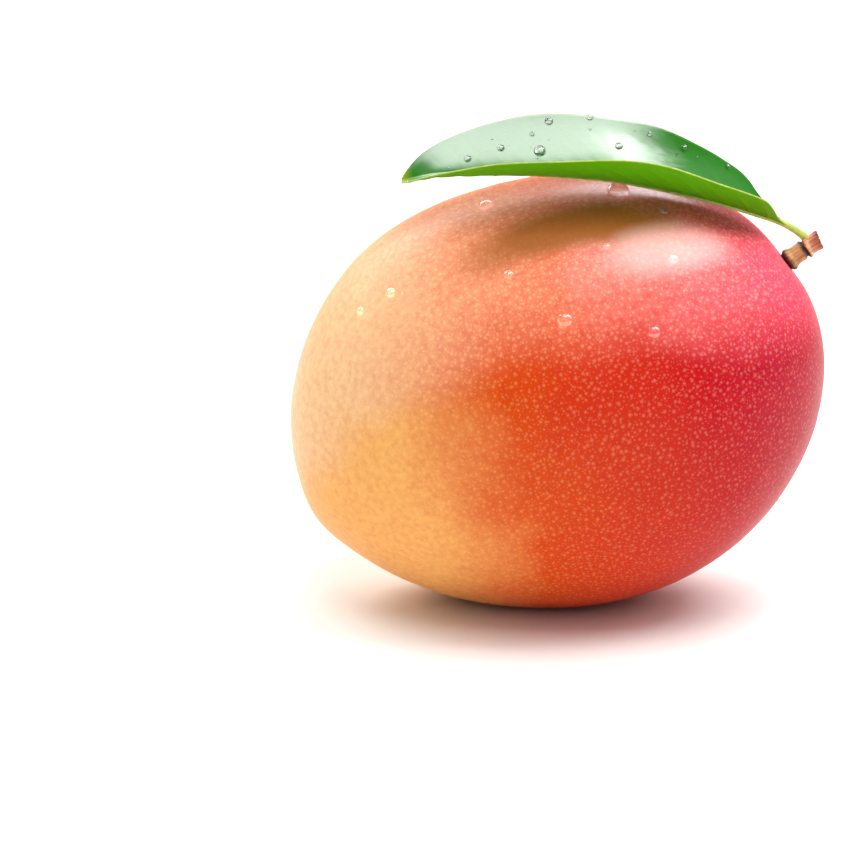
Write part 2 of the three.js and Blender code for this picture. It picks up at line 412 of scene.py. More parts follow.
def fruit_radius(add, given, direction):
    """Nodes for the fruit's radius in a direction: an ellipsoid's, with the swellings and slow lumps."""
    along = add("SeparateXYZ", direction)
    fullness = add("Math MULTIPLY_ADD", along, given["Shoulder Taper"], 1.0)
    across = add("Math MULTIPLY", given["Half Thickness"], fullness)
    upward = add("Math MULTIPLY", given["Half Height"], fullness)
    halves = add("CombineXYZ", {"X": given["Half Length"], "Y": across, "Z": upward})
    scaled = add("VectorMath DIVIDE", direction, halves)
    length = add("VectorMath LENGTH", scaled)
    radius = add("Math DIVIDE", 1.0, length)
    group = swelling_tree()
    for angle, spread, height in SWELLINGS.values():
        swelling = {
            "Direction": direction,
            "Middle": (math.cos(math.radians(angle)), 0, math.sin(math.radians(angle))),
            "Spread": math.radians(spread),
            "Height": height * MM,
            "Radius": radius,
        }
        radius = add("GeometryNodeGroup", swelling, node_tree=group)
    # Grown skin is never quite even: a slow noise moves it by a fraction of a millimetre
    lumps = add("TexNoise", {"Vector": direction, "Scale": LUMPS, "Detail": 2.0})
    lump = add("Math SUBTRACT", lumps, 0.5)
    return add("Math MULTIPLY_ADD", lump, given["Unevenness"], radius)


def fruit_tree(material):
    """Nodes that pull a unit sphere out to the fruit's radius in every direction."""
    halves = dict.fromkeys(("Half Length", "Half Height", "Half Thickness"), "Float")
    sizes = {"Geometry": "Geometry", **halves, "Shoulder Taper": "Float", "Unevenness": "Float"}
    tree, add, given = new_tree("Fruit body", {**sizes, "Segments": "Int", "Rings": "Int"})
    ball = {"Segments": given["Segments"], "Rings": given["Rings"], "Radius": 1.0}
    sphere = add("GeometryNodeMeshUVSphere", ball)
    # The sphere's pole points to the stem, so that its rings run round the stem's hollow
    to_stem = (0, math.pi / 2 - STEM_ANGLE, 0)
    turned = add("GeometryNodeTransform", {"Geometry": sphere, "Rotation": to_stem})
    place = add("GeometryNodeInputPosition")
    direction = add("VectorMath NORMALIZE", place)
    radius = fruit_radius(add, given, direction)
    skin = add("VectorMath SCALE", direction, radius)
    pulled = add("GeometryNodeSetPosition", {"Geometry": turned, "Position": skin})
    lying = {"Geometry": pulled, "Translation": FRUIT_CENTRE, "Rotation": (0, -FRUIT_TILT, 0)}
    placed = add("GeometryNodeTransform", lying)
    # The flat spot: nothing reaches below the surface that the fruit rests on
    xyz = add("SeparateXYZ", place).outputs
    above = add("Math MAXIMUM", xyz["Z"], 0.0)
    rested = add("CombineXYZ", {"X": xyz["X"], "Y": xyz["Y"], "Z": above})
    flat = add("GeometryNodeSetPosition", {"Geometry": placed, "Position": rested})
    finish_tree(add, flat, material)
    return tree


def colour_zones(add, distance, stops):
    """Nodes for colours that change along a distance, through stops given in millimetres."""
    first, last = stops[0][0], stops[-1][0]
    share = add("MapRange", span(distance, first * MM, last * MM))
    zones = add("ValToRGB", share)
    for place, _ in stops[1:-1]:
        zones.color_ramp.elements.new((place - first) / (last - first))
    for element, (_, colour) in zip(zones.color_ramp.elements, stops):
        element.color = paint(colour)
    return zones


def patch(add, own, lean, shape, strength):
    """Nodes for how much of a patch's colour each point has: its strength well inside, and none outside."""
    middle, size, turn = shape
    place = {"Vector": own, "Location": middle, "Rotation": turn, "Scale": size}
    place = add("Mapping", place, vector_type="TEXTURE")
    away = add("VectorMath LENGTH", place)
    away = add("Math MULTIPLY_ADD", lean, PATCH_DRIFT, away)
    return add("MapRange", span(away, *PATCH_EDGE, strength, 0), **SMOOTH)


def lenticels(add, own, spacing, radius):
    """Nodes for how far each point lies from the nearest corky dot, as a share of the dot's radius."""
    outward = add("VectorMath NORMALIZE", own)
    pattern = {"Vector": own, "Scale": 1 / (spacing * MM), "Randomness": 0.8}
    cells = add("TexVoronoi", pattern).outputs
    # Measured along the skin, so that a dot is as wide wherever the skin cuts its cell
    away = add("VectorMath SUBTRACT", own, cells["Position"])
    deep = add("VectorMath DOT_PRODUCT", away, outward)
    under = add("VectorMath SCALE", outward, deep)
    aside = add("VectorMath SUBTRACT", away, under)
    aside = add("VectorMath LENGTH", aside)
    width = add("MapRange", span(cells["Color"], 0.2, 0.8, LEAST_DOT * radius * MM, radius * MM))
    return add("Math DIVIDE", aside, width)


def skin_ground(add, x, along, height, settings):
    """Nodes for the skin's zones of colour, and for how far each point belongs to the back."""
    # The back's colours are paler partly with painted sheen, and the belly's deeper partly with painted
    # shade, besides the skin's own colours
    back, belly = (
        colour_zones(add, along, [(at, getattr(settings, f"{side}_{name}")) for name, at in zones.items()])
        for side, zones in (("back", BACK_ZONES), ("belly", BELLY_ZONES))
    )
    # The belly's colours reach highest in the middle, and sink towards both ends
    square = add("Math MULTIPLY", x, x)
    rise = add("Math MULTIPLY_ADD", square, BORDER_SINK, height)
    upper = add("MapRange", span(rise, *BORDER), **SMOOTH)
    return add("Mix", upper, belly, back, data_type="RGBA"), upper


def skin_pattern(add, own, along, upper):
    """Nodes for how strong the net of deeper colour is at each point, and the lenticels, its paler dots."""
    shares = [lenticels(add, own, spacing, radius) for spacing, radius, _ in LENTICELS]
    # The net lies far from every large dot, and where fine mottling darkens the skin
    net = add("MapRange", span(shares[0], 1.6, 3.6, 0, 0.3))
    mottle = add("TexNoise", {"Vector": own, "Scale": 0.65 / MM, "Detail": 3.0})
    mottle = add("MapRange", span(mottle, 0.4, 0.66, 0, 0.42))
    net = add("Math MAXIMUM", net, mottle)
    # It fades towards the pale end
    fading = add("MapRange", span(along, *NET_RANGE, 0.5, 1))
    net = add("Math MULTIPLY", net, fading)
    large, small = (
        add("MapRange", span(share, 0, 1.2, strength, 0), **SMOOTH)
        for share, (_, _, strength) in zip(shares, LENTICELS)
    )
    dots = add("Math MAXIMUM", large, small)
    # The dots show most on the back
    plainer = add("Math MULTIPLY_ADD", upper, 1.4, 1.0)
    dots = add("Math MULTIPLY", dots, plainer)
    return net, dots


def skin_material(settings):
    """Ripe mango skin: a waxy cuticle over gold, orange and crimson, dotted pale, with a soft shine."""
    material, add = new_material("mango_skin")
    own = own_frame(add, FRUIT_CENTRE, FRUIT_TILT)
    # Slow noise bends the zones, so that no colour ends on a straight line
    drift = add("TexNoise", {"Vector": own, "Scale": 0.038 / MM, "Detail": 3.0})
    lean = add("Math SUBTRACT", drift, 0.5)
    xyz = add("SeparateXYZ", own).outputs
    along, height = (add("Math MULTIPLY_ADD", lean, settings.drift, xyz[axis]) for axis in "XZ")
    colour, upper = skin_ground(add, xyz["X"], along, height, settings)
    net, dots = skin_pattern(add, own, along, upper)
    blushed = add("MapRange", span(along, *BLUSH_RANGE), **SMOOTH)
    pale, rosy = paint(settings.pale_lenticels), paint(settings.lenticels)
    corky = add("Mix", blushed, pale, rosy, data_type="RGBA")
    # Under the leaf the blush gives way to olive, partly the skin's own and partly a painted shadow of the
    # leaf, and beside it a pale painted highlight lies on the shoulder
    olive = patch(add, own, lean, OLIVE_AND_LEAF_SHADOW_PATCH, settings.olive_strength)
    bloom = patch(add, own, lean, PAINTED_HIGHLIGHT_PATCH, settings.bloom_strength)
    for share, layer in (
        (net, paint(settings.net)),
        (dots, corky),
        (olive, paint(settings.olive)),
        (bloom, paint(settings.bloom)),
    ):
        colour = add("Mix", share, colour, layer, data_type="RGBA")
    peel = add("TexNoise", {"Vector": own, "Scale": 0.9 / MM, "Detail": 2.0})
    relief = add("Math MULTIPLY_ADD", dots, 0.8, peel)
    bump = add("Bump", {"Height": relief, "Strength": 0.25, "Distance": 0.06 * MM})
    # The wax is rubbed to a shine on the shoulder by the stem
    shoulder, crest = (
        add("MapRange", span(value, *edge), **SMOOTH)
        for value, edge in ((along, SHINE_RANGE), (height, SHINE_HEIGHTS))
    )
    shine = add("Math MULTIPLY", shoulder, crest)
    look = {
        "Base Color": colour,
        "Roughness": 0.4,
        "IOR": 1.4,
        "Specular IOR Level": 0.2,
        "Normal": bump,
        "Coat Weight": shine,
        "Coat Roughness": 0.22,
        "Subsurface Weight": 0.12,
        "Subsurface Radius": (1.0, 0.35, 0.2),
        "Subsurface Scale": 3 * MM,
    }
    add("OutputMaterial", add("BsdfPrincipled", look))
    return material


class FruitSettings(bpy.types.PropertyGroup):
    """Sizes and colours of the fruit."""

    half_length: size_setting("Half length", "From the middle to either end", 59.1)
    half_height: size_setting("Half height", "From the middle to the back", 47.2)
    half_thickness: size_setting("Half thickness", "From the middle to either cheek", 44)
    shoulder_taper: FloatProperty(
        name="Shoulder taper", description="How much fuller the stem end is than the middle", default=0.06
    )
    unevenness: size_setting("Unevenness", "Height of the slow lumps in the skin", 0.5)
    segments: IntProperty(name="Segments", description="Faces round the stem's axis", default=240)
    rings: IntProperty(name="Rings", description="Faces from the stem to the apex", default=150)
    drift: size_setting("Drift", "How far the zones of colour bend", 26)
    # The back's colours are paler partly with painted sheen, and the belly's deeper partly with painted
    # shade, besides the skin's own colours
    back_apex: colour_setting("Back, apex", "Peach at the far end of the back", "#F7C894")
    back_side: colour_setting("Back, side", "Salmon before the middle", "#F29A72")
    back_middle: colour_setting("Back, middle", "Coral over the middle", "#F2805C")
    back_blush: colour_setting("Back, blush", "Rose where the sun reached", "#EE766C")
    back_stem_end: colour_setting("Back, stem end", "Pink round the stem", "#F04E6A")
    belly_apex: colour_setting("Belly, apex", "Gold at the beak", "#F6B463")
    belly_side: colour_setting("Belly, side", "Orange on the pale cheek", "#DA4C00")
    belly_middle: colour_setting("Belly, middle", "Deep orange over the middle", "#D23604")
    belly_blush: colour_setting("Belly, blush", "Scarlet beyond the middle", "#BA0414")
    belly_stem_end: colour_setting("Belly, stem end", "Crimson at the stem end", "#A8002A")
    # Olive under the leaf: partly the skin's own colour, partly a painted shadow of the leaf
    olive: colour_setting("Olive", "Skin that the leaf kept from the sun", "#A05C20")
    olive_strength: FloatProperty(
        name="Olive strength", description="How far the olive covers the blush", default=0.9
    )
    # A pale painted highlight on the shoulder by the stem
    bloom: colour_setting("Bloom", "Pale wax on the shoulder", "#FFD6D0")
    bloom_strength: FloatProperty(
        name="Bloom strength", description="How far the bloom covers the blush", default=0.45
    )
    net: colour_setting("Net", "The deeper colour between the lenticels", "#C8281C")
    lenticels: colour_setting("Lenticels", "Corky dots on blushed skin", "#FFB4A4")
    pale_lenticels: colour_setting("Pale lenticels", "Corky dots on skin without a blush", "#FFD08C")


class MANGO_OT_grow_fruit(bpy.types.Operator):
    """Grow the fruit's body with its stem hollow, beak and flat spot"""

    bl_idname = "mango.grow_fruit"
    bl_label = "Grow fruit"

    def execute(self, context):
        settings = context.scene.mango_fruit
        tree = fruit_tree(skin_material(settings))
        fruit = grow("fruit_skin", bpy.data.meshes.new("seed"), tree, settings)
        hand_over(fruit, "fruit")
        return {"FINISHED"}


# Stem


def stem_noise(radius, around, height):
    """Two noises over the stem: grain, drawn out along it, and crumb, which is as coarse every way."""
    grain, crumb = np.empty_like(radius), np.empty_like(radius)
    for i in np.ndindex(radius.shape):
        way = Vector((math.cos(around[i]), math.sin(around[i]), 0))
        grain[i] = noise.fractal(way * 5 + Z_AXIS * height[i] / (4 * MM), 1.0, 2.0, 3)
        crumb[i] = noise.fractal((way * radius[i] + Z_AXIS * height[i]) / (0.7 * MM), 1.0, 2.0, 3)
    return grain, crumb


def stem_mesh(settings):
    """The woody stalk: a flared foot, a ring scar with a groove beside it, and a broken top."""
    shares, heights = np.array(STEM_OUTLINE).T
    turns = np.linspace(0, 1, len(shares))
    rows = np.linspace(0, 1, settings.rows)
    radius = through(turns, shares, rows) * STEM_RADIUS
    radius[-1] = 0
    sides = settings.sides
    r, a = np.meshgrid(radius, np.arange(sides) * 2 * math.pi / sides, indexing="ij")
    h = np.repeat(through(turns, heights, rows)[:, None] * MM, sides, axis=1)
    top = heights.max() * MM
    grain, crumb = stem_noise(r, a, h)
    # Not quite round, with fibres along the stalk; the foot's scar and the broken top are coarser
    lumps = 1 + 0.04 * np.sin(3 * a + 1) + 0.03 * np.sin(5 * a - 0.6 * h / MM)
    ragged = np.exp(-(((h / MM - 0.5) / 0.7) ** 2)) + smoothstep(h, top - 0.8 * MM, top)
    out = settings.fibre_relief * grain + settings.scar_relief * crumb * ragged
    r = r * lumps + out * smoothstep(r, 0, 0.6 * STEM_RADIUS)
    # The rings lean more and more towards the top, which ends in splinters
    h = h - STEM_LEAN * smoothstep(h, 0, 4.4 * MM) * r * np.cos(a)
    h = h + settings.break_relief * grain * smoothstep(h, top - 0.7 * MM, top)
    axis = Vector((math.cos(STEM_ELEVATION), 0, math.sin(STEM_ELEVATION)))
    lower = Vector((math.sin(STEM_ELEVATION), 0, -math.cos(STEM_ELEVATION)))
    points = (
        np.array(STEM_FOOT)
        + h[..., None] * np.array(axis)
        + (r * np.cos(a))[..., None] * np.array(lower)
        + (r * np.sin(a))[..., None] * np.array(-Y_AXIS)
    )
    # The last ring is one point, and the foot is closed with one face
    points = np.concatenate([points[:-1].reshape(-1, 3), points[-1, :1]])
    middle = (settings.rows - 1) * sides
    faces = ring_faces(settings.rows - 1, sides)
    faces += [(middle - sides + (c + 1) % sides, middle - sides + c, middle)[::-1] for c in range(sides)]
    faces.append(tuple(range(sides))[::-1])
    return smooth_mesh("stem_wood", points, faces)


def bark_material():
    """Cut fruit stalk, drying to wood: tan bark, a pale ring scar and a red-brown end with a dark pith."""
    material, add = new_material("stem_bark")
    own = own_frame(add, STEM_FOOT, STEM_ELEVATION)
    blotches = add("TexNoise", {"Vector": own, "Scale": 0.7 / MM, "Detail": 4.0})
    along = add("SeparateXYZ", own)
    shift = add("Math MULTIPLY_ADD", blotches, 0.9 * MM, along)
    zones = colour_zones(add, shift, BARK_ZONES)
    # Fibres: noise drawn out along the stalk
    drawn = add("Mapping", {"Vector": own, "Scale": (0.12, 1, 1)})
    fibres = add("TexNoise", {"Vector": drawn, "Scale": 2.6 / MM, "Detail": 3.0})
    dark = add("MapRange", span(fibres, 0.35, 0.62, 0.6, 1.2))
    colour = add("VectorMath SCALE", zones, dark)
    bump = add("Bump", {"Height": fibres, "Strength": 0.6, "Distance": 0.12 * MM})
    add("OutputMaterial", add("BsdfPrincipled", {"Base Color": colour, "Roughness": 0.6, "Normal": bump}))
    return material


class StemSettings(bpy.types.PropertyGroup):
    """Fineness and roughness of the stem."""

    rows: IntProperty(name="Rows", description="Rings of faces from the foot to the top", default=150)
    sides: IntProperty(name="Sides", description="Faces round the stalk", default=96)
    fibre_relief: size_setting("Fibre relief", "Height of the ridges along the stalk", 0.1)
    scar_relief: size_setting("Scar relief", "Raggedness of the foot and the top", 0.16)
    break_relief: size_setting("Break relief", "How far splinters stand out of the top", 0.5)


class MANGO_OT_grow_stem(bpy.types.Operator):
    """Grow the woody stem with its ring scar and broken top"""

    bl_idname = "mango.grow_stem"
    bl_label = "Grow stem"

    def execute(self, context):
        stem = add_piece("stem_wood", stem_mesh(context.scene.mango_stem))
        stem.data.materials.append(bark_material())
        hand_over(stem, "stem")
        return {"FINISHED"}


# Leaf


def fold_frames(lengths):
    """The fold line at lengths along it: points, the ways to the far side and up, and shares of its run."""
    knots = np.array(LEAF_FOLD) * MM
    chords = np.concatenate([[0], np.cumsum(np.linalg.norm(np.diff(knots, axis=0), axis=1))])
    line = through(chords, knots, np.linspace(0, chords[-1], 2000))
    run = np.concatenate([[0], np.cumsum(np.linalg.norm(np.diff(line, axis=0), axis=1))])
    ahead = np.gradient(line, run, axis=0)
    far = np.cross(ahead, Z_AXIS)
    far /= np.linalg.norm(far, axis=1, keepdims=True)
    up = np.cross(far, ahead)
    frames = (
        np.stack([np.interp(lengths, run, column) for column in values.T], axis=-1)
        for values in (line, far, up)
    )
    return *frames, lengths / run[-1]


def rise_of(angles, share):
    """A half's rise from level, in radians, at each share of the fold line."""
    at_stalk, in_middle, at_tip = np.radians(angles)
    end = np.where(share < 0.5, at_stalk, at_tip)
    return in_middle + (end - in_middle) * (2 * share - 1) ** 2


def vein_phase(along, aside, spacing):
    """How many side veins from the stalk each point lies; a vein runs at each whole number and a half."""
    out = np.abs(aside)
    start = along - VEIN_SLANT * out - out**2 / VEIN_BEND - np.where(aside < 0, VEIN_STAGGER, 0) * spacing
    return start / spacing + VEIN_WANDER * np.sin(along / VEIN_WANDER_LENGTH)


def upper_face(width, run, settings):
    """The blade's upper face, section by section, with its fold at 0.

    Gives the shares of the half that the strips stand at, then at each point how far it lies aside from the
    fold, the face's slope there, and how far over and up that slope has led.
    """
    face = np.linspace(-1, 1, settings.strips)
    face = np.sign(face) * np.abs(face) ** FOLD_CROWDING
    near, far = (rise_of(angles, run)[:, None] for angles in (LEAF_NEAR_RISE, LEAF_FAR_RISE))
    fuller = 1 + FAR_FULLNESS * smoothstep(run, 0.5, 0.85)[:, None]
    aside = width * face * np.where(face > 0, fuller, 1)
    slope = (far - near) / 2 + (far + near) / 2 * np.tanh(aside / settings.fold_radius)
    steps = np.diff(aside, axis=1)
    start = np.zeros_like(width)
    over, up = (
        np.concatenate([start, np.cumsum((w[:, 1:] + w[:, :-1]) / 2 * steps, axis=1)], axis=1)
        for w in (np.cos(slope), np.sin(slope))
    )
    fold = settings.strips // 2
    return face, (aside, slope, over - over[:, fold : fold + 1], up - up[:, fold : fold + 1])


def section_columns(strips):
    """Points round a section: across the upper face, round the far edge, back below, round the near edge.

    Gives each point's strip, its share of the thickness, and how far the edge bulges out there.
    """
    turn = np.linspace(0, math.pi, 9)[1:-1]
    last = strips - 1
    flat, edge = np.zeros(strips), np.sin(turn) / 2
    strip = np.concatenate([np.arange(strips), np.full(turn.size, last), np.arange(last, -1, -1), 0 * turn])
    depth = np.concatenate([flat, (1 - np.cos(turn)) / 2, flat + 1, (1 + np.cos(turn)) / 2])
    return strip.astype(int), depth, np.concatenate([flat, edge, flat, edge])


def face_numbers(depth, stations):
    """Each blade face's material: 0 on the upper face, 1 on the underside, 2 on the edge and the ends."""
    kind = np.where(depth == 0, 0, np.where(depth == 1, 1, 2))
    kind = np.maximum(kind, np.roll(kind, -1)) * (kind + np.roll(kind, -1) > 0)
    kind = np.where((depth == 1) & (np.roll(depth, -1) == 1), 1, kind)
    return np.concatenate([np.tile(kind, stations - 1), [2, 2]])


def blade_mesh(settings):
    """The folded blade: two glossy halves on a rounded fold, with veins, a thin edge and a pointed tip."""
    lengths, halves = np.array(LEAF_OUTLINE).T * MM
    even = np.linspace(0, 1, settings.stations)
    share = even - END_CROWDING * np.sin(2 * math.pi * even) / (2 * math.pi)
    along = lengths[0] + (lengths[-1] - lengths[0]) * share
    point, far, up, run = fold_frames(along)
    width = np.maximum(through(lengths, halves, along), 0.2 * MM)[:, None]
    face, sections = upper_face(width, run, settings)
    strip, depth, beyond = section_columns(settings.strips)
    across = face[strip]
    aside, slope, over, rise = (values[:, strip] for values in sections)

    # Off the slope: a slow wave of the margin, a sag between fold and margin, veins and what swells between
    side = np.sign(across)
    wave = 0.025 * np.sin(2 * math.pi * 3 * run[:, None] + side)
    lift = width * (wave * across**2 - 0.2 * np.abs(across) * (1 - np.abs(across)))
    phase = vein_phase(along[:, None], aside, settings.vein_spacing)
    # A vein slants, so it is nearer than the way to it along the fold
    off = (phase - np.floor(phase) - 0.5) * settings.vein_spacing * 0.8
    vein = np.exp(-((off / settings.vein_width) ** 2))
    quilt = np.cos(2 * math.pi * (phase - 0.5))
    inland = 1 - np.abs(across) ** 4
    lift = lift - settings.quilting * quilt * inland * smoothstep(np.abs(aside), 0, 3 * MM)
    relief = np.where(depth < 0.5, settings.vein_relief * UPPER_VEINS, settings.vein_relief) * vein * inland
    thickness = settings.thickness * (1 - 0.3 * np.abs(across))
    lift = lift - depth * thickness - relief
    beyond = beyond * thickness * side
    x = over - np.sin(slope) * lift + np.cos(slope) * beyond
    z = rise + np.cos(slope) * lift + np.sin(slope) * beyond
    points = point[:, None] + far[:, None] * x[..., None] + up[:, None] * z[..., None]

    around = strip.size
    faces = ring_faces(settings.stations, around)
    first_ring = tuple(range(around))
    faces += [first_ring[::-1], tuple(i + (settings.stations - 1) * around for i in first_ring)]
    mesh = smooth_mesh("leaf_blade", points, faces)
    # For the materials: where a point lies along the blade, aside from the fold and as a share of the half
    place = np.stack(np.broadcast_arrays(along[:, None], aside, np.abs(across)), axis=-1)
    mesh.attributes.new("blade_place", "FLOAT_VECTOR", "POINT").data.foreach_set("vector", place.ravel())
    mesh.attributes.new("vein_phase", "FLOAT", "POINT").data.foreach_set("value", phase.ravel())
    mesh.polygons.foreach_set("material_index", face_numbers(depth, settings.stations))
    return mesh


def leaf_green(add, face_colour, vein_colour, mottle, fineness):
    """Nodes for a leaf face's colour, with its veins and yellowing tip, for the way along and the spots."""
    place = add("Attribute", attribute_name="blade_place").outputs["Vector"]
    xyz = add("SeparateXYZ", place).outputs
    spots = add("TexNoise", {"Vector": place, "Scale": fineness / MM, "Detail": 4.0})
    shade = add("MapRange", span(spots, 0.3, 0.7, 1 - mottle, 1 + mottle))
    colour = add("VectorMath SCALE", to_linear(face_colour), shade)
    phase = add("Attribute", attribute_name="vein_phase").outputs["Fac"]
    part = add("Math FRACT", phase)
    off = add("Math SUBTRACT", part, 0.5)
    off = add("Math ABSOLUTE", off)
    vein = add("MapRange", span(off, 0.02, 0.09, 1, 0), **SMOOTH)
    fade = add("MapRange", span(xyz["Z"], 0.5, 1, 0.8, 0.1))
    vein = add("Math MULTIPLY", vein, fade)
    tip = add("MapRange", span(xyz["X"], *TIP_RANGE, 0, 0.75))
    for share, layer in ((vein, vein_colour), (tip, "#B9B41C")):
        colour = add("Mix", share, colour, paint(layer), data_type="RGBA")
    return colour, xyz["X"], spots


def upper_material():
    """A mature leaf's upper face: deep green under a hard, glossy cuticle that mirrors the softbox."""
    material, add = new_material("leaf_cuticle")
    colour, along, spots = leaf_green(add, "#1C7404", "#237C08", 0.3, 0.5)
    # The wax is whole over the outer leaf, and breaks up towards the stalk and the tip
    patchy = add("Math MULTIPLY_ADD", spots, WAX_BREAKUP, along)
    stalk, tip = (add("MapRange", span(patchy, *edge), **SMOOTH) for edge in WAX_EDGES)
    wax = add("Math MULTIPLY", stalk, tip)
    bump = add("Bump", {"Height": spots, "Strength": 0.15, "Distance": 0.05 * MM})
    look = {
        "Base Color": colour,
        "Roughness": 0.3,
        "IOR": 1.5,
        "Specular IOR Level": 0.1,
        "Coat Weight": wax,
        "Coat Roughness": 0.2,
        "Coat IOR": 2.2,
        "Normal": bump,
    }
    add("OutputMaterial", add("BsdfPrincipled", look))
    return material


def under_material():
    """The leaf's underside: matt yellow-green, lit through from above, with raised paler veins."""
    material, add = new_material("leaf_underside")
    colour, _, spots = leaf_green(add, "#6ECC00", "#86D010", 0.15, 0.3)
    bump = add("Bump", {"Height": spots, "Strength": 0.2, "Distance": 0.08 * MM})
    look = {"Base Color": colour, "Roughness": 0.6, "Specular IOR Level": 0.2, "Normal": bump}
    matt = add("BsdfPrincipled", look)
    glow = add("BsdfTranslucent", colour)
    add("OutputMaterial", add("MixShader", 0.4, matt, glow))
    return material


def margin_material():
    """The leaf's edge and midrib: pale, fibrous yellow-green with a soft shine."""
    material, add = new_material("leaf_rib")
    place = add("TexCoord").outputs["Object"]
    grain = add("TexNoise", {"Vector": place, "Scale": 0.7 / MM, "Detail": 3.0})
    colour = add("Mix", grain, paint("#7FA832"), paint("#D3E06A"), data_type="RGBA")
    add("OutputMaterial", add("BsdfPrincipled", {"Base Color": colour, "Roughness": 0.45}))
    return material


def midrib_tree(material):
    """Nodes that sweep a round section along the fold line, thick at the stem and fine at the tip."""
    sizes = {"Geometry": "Geometry", "Stalk Radius": "Float", "Tip Radius": "Float", "Sides": "Int"}
    tree, add, given = new_tree("Leaf stalk and midrib", sizes)
    path = add("GeometryNodeMeshToCurve", {"Mesh": given["Geometry"]})
    path = add("GeometryNodeSetCurveNormal", {"Curve": path}, mode="Z_UP")
    factor = add("GeometryNodeSplineParameter")
    root = add("Math SQRT", factor)
    radius = add("MapRange", span(root, 0.0, 1.0, given["Stalk Radius"], given["Tip Radius"]))
    # The swollen joint where the leaf stalk leaves the stem
    joint = add("MapRange", span(factor, 0.02, 0.09, 1.05, 1), **SMOOTH)
    radius = add("Math MULTIPLY", radius, joint)
    section = add("GeometryNodeCurvePrimitiveCircle", {"Resolution": given["Sides"], "Radius": 1.0})
    sweep = {"Curve": path, "Profile Curve": section, "Scale": radius, "Fill Caps": True}
    finish_tree(add, add("GeometryNodeCurveToMesh", sweep), material)
    return tree


class LeafSettings(bpy.types.PropertyGroup):
    """Sizes of the leaf."""

    stations: IntProperty(name="Stations", description="Sections from the stalk to the tip", default=340)
    strips: IntProperty(name="Strips", description="Points across the blade, an odd number", default=81)
    thickness: size_setting("Thickness", "Of the blade beside its fold", 0.42)
    fold_radius: size_setting("Fold radius", "How softly the blade folds", 0.5)
    vein_spacing: size_setting("Vein spacing", "Between side veins along the midrib", 4.6)
    vein_width: size_setting("Vein width", "Half width of a side vein", 0.26)
    vein_relief: size_setting("Vein relief", "How far veins stand out below", 0.12)
    quilting: size_setting("Quilting", "How far the blade swells between veins", 0.006)
    stalk_radius: size_setting("Stalk radius", "Where the leaf leaves the stem", 0.95)
    tip_radius: size_setting("Tip radius", "Of the midrib at the leaf's tip", 0.18)
    sides: IntProperty(name="Sides", description="Faces round the stalk and midrib", default=24)


class MANGO_OT_grow_leaf(bpy.types.Operator):
    """Grow the leaf: its folded blade, then its stalk and midrib"""

    bl_idname = "mango.grow_leaf"
    bl_label = "Grow leaf"

    def execute(self, context):
        settings = context.scene.mango_leaf
        rib_material = margin_material()
        blade = add_piece("leaf_blade", blade_mesh(settings))
        for material in (upper_material(), under_material(), rib_material):
            blade.data.materials.append(material)
        hand_over(blade, "leaf")

        along = np.linspace(0, LEAF_OUTLINE[-1][0] * MM, 200)
        point, _, up, _ = fold_frames(along)
        # The stalk stands free, and the midrib lies half in the blade
        sunk = 0.5 * MM * smoothstep(along, 0, 22 * MM)[:, None]
        path = bpy.data.meshes.new("path")
        path.from_pydata((point - up * sunk).tolist(), [(i, i + 1) for i in range(along.size - 1)], [])
        midrib = grow("leaf_midrib", path, midrib_tree(rib_material), settings)
        hand_over(midrib)
        return {"FINISHED"}


# Water


def drops_tree(material):
    """Nodes that stand a flattened drop on each named place, and scatter small beads over a host."""
    sizes = {"Geometry": "Geometry", "Host": "Object", "Flatness": "Float", "Beads": "Float"}
    tree, add, given = new_tree("Water drops", {**sizes, "Bead Width": "Float", "Seed": "Int"})
    dome = add("GeometryNodeMeshUVSphere", {"Segments": 28, "Rings": 16, "Radius": 0.5})
    flat = add("CombineXYZ", {"X": 1.0, "Y": 1.0, "Z": given["Flatness"]})
    host = add("GeometryNodeObjectInfo", {"Object": given["Host"]})
    scatter = {"Mesh": host.outputs["Geometry"], "Density": given["Beads"], "Seed": given["Seed"]}
    beads = add("GeometryNodeDistributePointsOnFaces", scatter)
    uneven = {"Min": 0.35, "Max": 1.0, "Seed": given["Seed"]}
    share = add("FunctionNodeRandomValue", uneven, data_type="FLOAT")
    bead_width = add("Math MULTIPLY", share, given["Bead Width"])
    outward, width = (
        add("GeometryNodeInputNamedAttribute", {"Name": name}, data_type=kind)
        for name, kind in (("outward", "FLOAT_VECTOR"), ("width", "FLOAT"))
    )
    upright = add("FunctionNodeAlignRotationToVector", {"Vector": outward}, axis="Z")
    both = add("GeometryNodeJoinGeometry")
    for points, rotation, size in (
        (given["Geometry"], upright, width),
        (beads, beads.outputs["Rotation"], bead_width),
    ):
        scale = add("VectorMath SCALE", flat, size)
        stand = {"Points": points, "Instance": dome, "Rotation": rotation, "Scale": scale}
        drops = add("GeometryNodeInstanceOnPoints", stand)
        tree.links.new(drops.outputs[0], both.inputs[0])
    finish_tree(add, both, material)
    return tree


def water_material():
    """Fresh water: clear, perfectly smooth, and a strong little lens whose coat brightens its glints."""
    material, add = new_material("water")
    look = {
        "Base Color": paint("#FFFFFF"),
        "Roughness": 0.0,
        "IOR": 1.36,
        "Coat Weight": 1.0,
        "Coat Roughness": 0.0,
        "Coat IOR": 1.8,
        "Transmission Weight": 1.0,
    }
    add("OutputMaterial", add("BsdfPrincipled", look))
    return material


